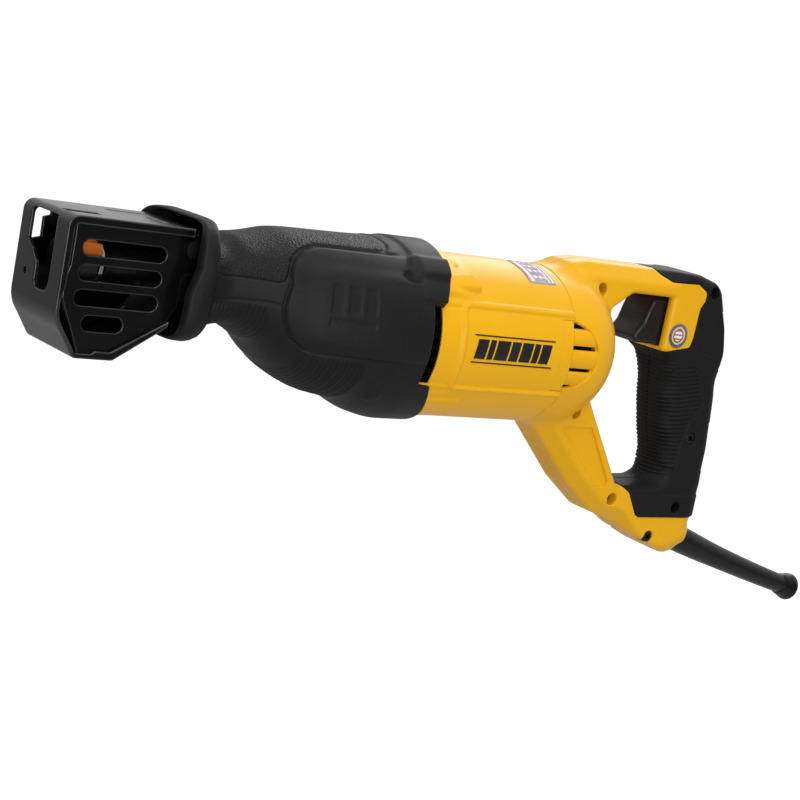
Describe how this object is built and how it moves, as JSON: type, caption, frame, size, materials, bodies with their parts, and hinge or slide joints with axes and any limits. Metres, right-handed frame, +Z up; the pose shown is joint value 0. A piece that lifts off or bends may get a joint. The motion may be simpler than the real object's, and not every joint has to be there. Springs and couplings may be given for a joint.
{
  "type": "reciprocating saw",
  "caption": "Corded reciprocating saw with a slotted steel shoe, rubber-booted nose, round motor housing and a D-shaped rear handle with a trigger.",
  "frame": {"origin": "where the axis of the blade's stroke crosses the plane of the shoe's front face, on the tool's mid-plane", "axes": "+X from the shoe back towards the handle, along the stroke; +Z up towards the top of the handle; -Y is the left side of the tool"},
  "size_m": [0.5532, 0.0904, 0.2009],
  "materials": {
    "black_steel": "gloss",
    "machined_steel": "satin",
    "blackened_steel": "satin",
    "orange_plastic": "satin",
    "cast_aluminium": "as cast",
    "boot_rubber": "matte with fine stipple",
    "bronze": "machined",
    "laminated_steel": "matte",
    "copper": "enamelled",
    "dark_plastic": "satin",
    "yellow_plastic": "satin with fine moulded texture",
    "grip_rubber": "matte",
    "cord_rubber": "gloss",
    "badge": "printed",
    "label": "printed",
    "roundel": "printed"
  },
  "bodies": {
    "housing": {"shoe_pivot_pin": "machined_steel", "pivot_clips": "machined_steel", "nose_boot": "boot_rubber", "gear_case": "cast_aluminium", "front_bush": "bronze", "rear_bush": "bronze", "shaft_seal": "boot_rubber", "upper_gear_bearing": "machined_steel", "lower_gear_bearing": "machined_steel", "end_plate": "cast_aluminium", "end_plate_screws": "machined_steel", "front_bearing": "machined_steel", "rear_bearing": "machined_steel", "fan_baffle": "dark_plastic", "field_stack": "laminated_steel", "field_coils": "copper", "brush_holders": "bronze", "carbon_brushes": "dark_plastic", "brush_springs": "machined_steel", "motor_housing": "yellow_plastic", "vent_grilles": "dark_plastic", "vent_screens": "dark_plastic", "handle_left": "yellow_plastic", "handle_right": "yellow_plastic", "grip_left": "grip_rubber", "grip_right": "grip_rubber", "trigger_spring": "machined_steel", "switch_body": "dark_plastic", "handle_screws": "blackened_steel", "strain_relief": "cord_rubber", "cord_clamp": "dark_plastic", "cord_clamp_screws": "machined_steel", "side_badges": "badge", "top_label": "label", "handle_roundels": "roundel"},
    "shoe": {"shoe_frame": "black_steel", "shoe_side_left": "black_steel", "shoe_side_right": "black_steel"},
    "plunger_assembly": {"plunger": "machined_steel", "yoke": "machined_steel", "clamp_body": "blackened_steel", "clamp_pin": "bronze", "clamp_spring": "machined_steel", "clamp_ring": "machined_steel"},
    "clamp_release": {"clamp_lever": "orange_plastic"},
    "crank": {"crank_gear": "machined_steel", "crank_pin": "machined_steel", "crank_roller": "machined_steel", "gear_shaft": "machined_steel"},
    "armature": {"armature_shaft": "machined_steel", "armature_core": "laminated_steel", "armature_windings": "copper", "commutator": "copper", "cooling_fan": "dark_plastic"},
    "trigger_button": {"trigger": "dark_plastic"}
  },
  "joints": [
    {"name": "plunger_stroke", "type": "slide", "parent": "housing", "child": "plunger_assembly", "axis": [1, 0, 0], "range_m": [0, 0.0286]},
    {"name": "clamp_lever_turn", "type": "hinge", "parent": "plunger_assembly", "child": "clamp_release", "pos_m": [0.02, 0, 0], "axis": [-1, 0, 0], "range_deg": [0, 60], "stiffness_Nm_per_rad": 0.06},
    {"name": "shoe_tilt", "type": "hinge", "parent": "housing", "child": "shoe", "pos_m": [0.064, 0, 0.0125], "axis": [0, 1, 0], "range_deg": [-6, 12]},
    {"name": "armature_spin", "type": "hinge", "parent": "housing", "child": "armature", "pos_m": [0.25, 0, -0.01875], "axis": [1, 0, 0], "continuous": true},
    {"name": "crank_gear_spin", "type": "hinge", "parent": "housing", "child": "crank", "pos_m": [0.15, 0, -0.02], "axis": [0, 0, 1], "continuous": true},
    {"name": "trigger_pull", "type": "slide", "parent": "housing", "child": "trigger_button", "axis": [1, 0, 0], "range_m": [0, 0.007], "stiffness_N_per_m": 600, "springref_m": -0.004, "deforming": ["trigger_spring"]}
  ],
  "couplings": [
    {"joint": "crank_gear_spin", "follows": "armature_spin", "ratio": -0.16667}
  ]
}
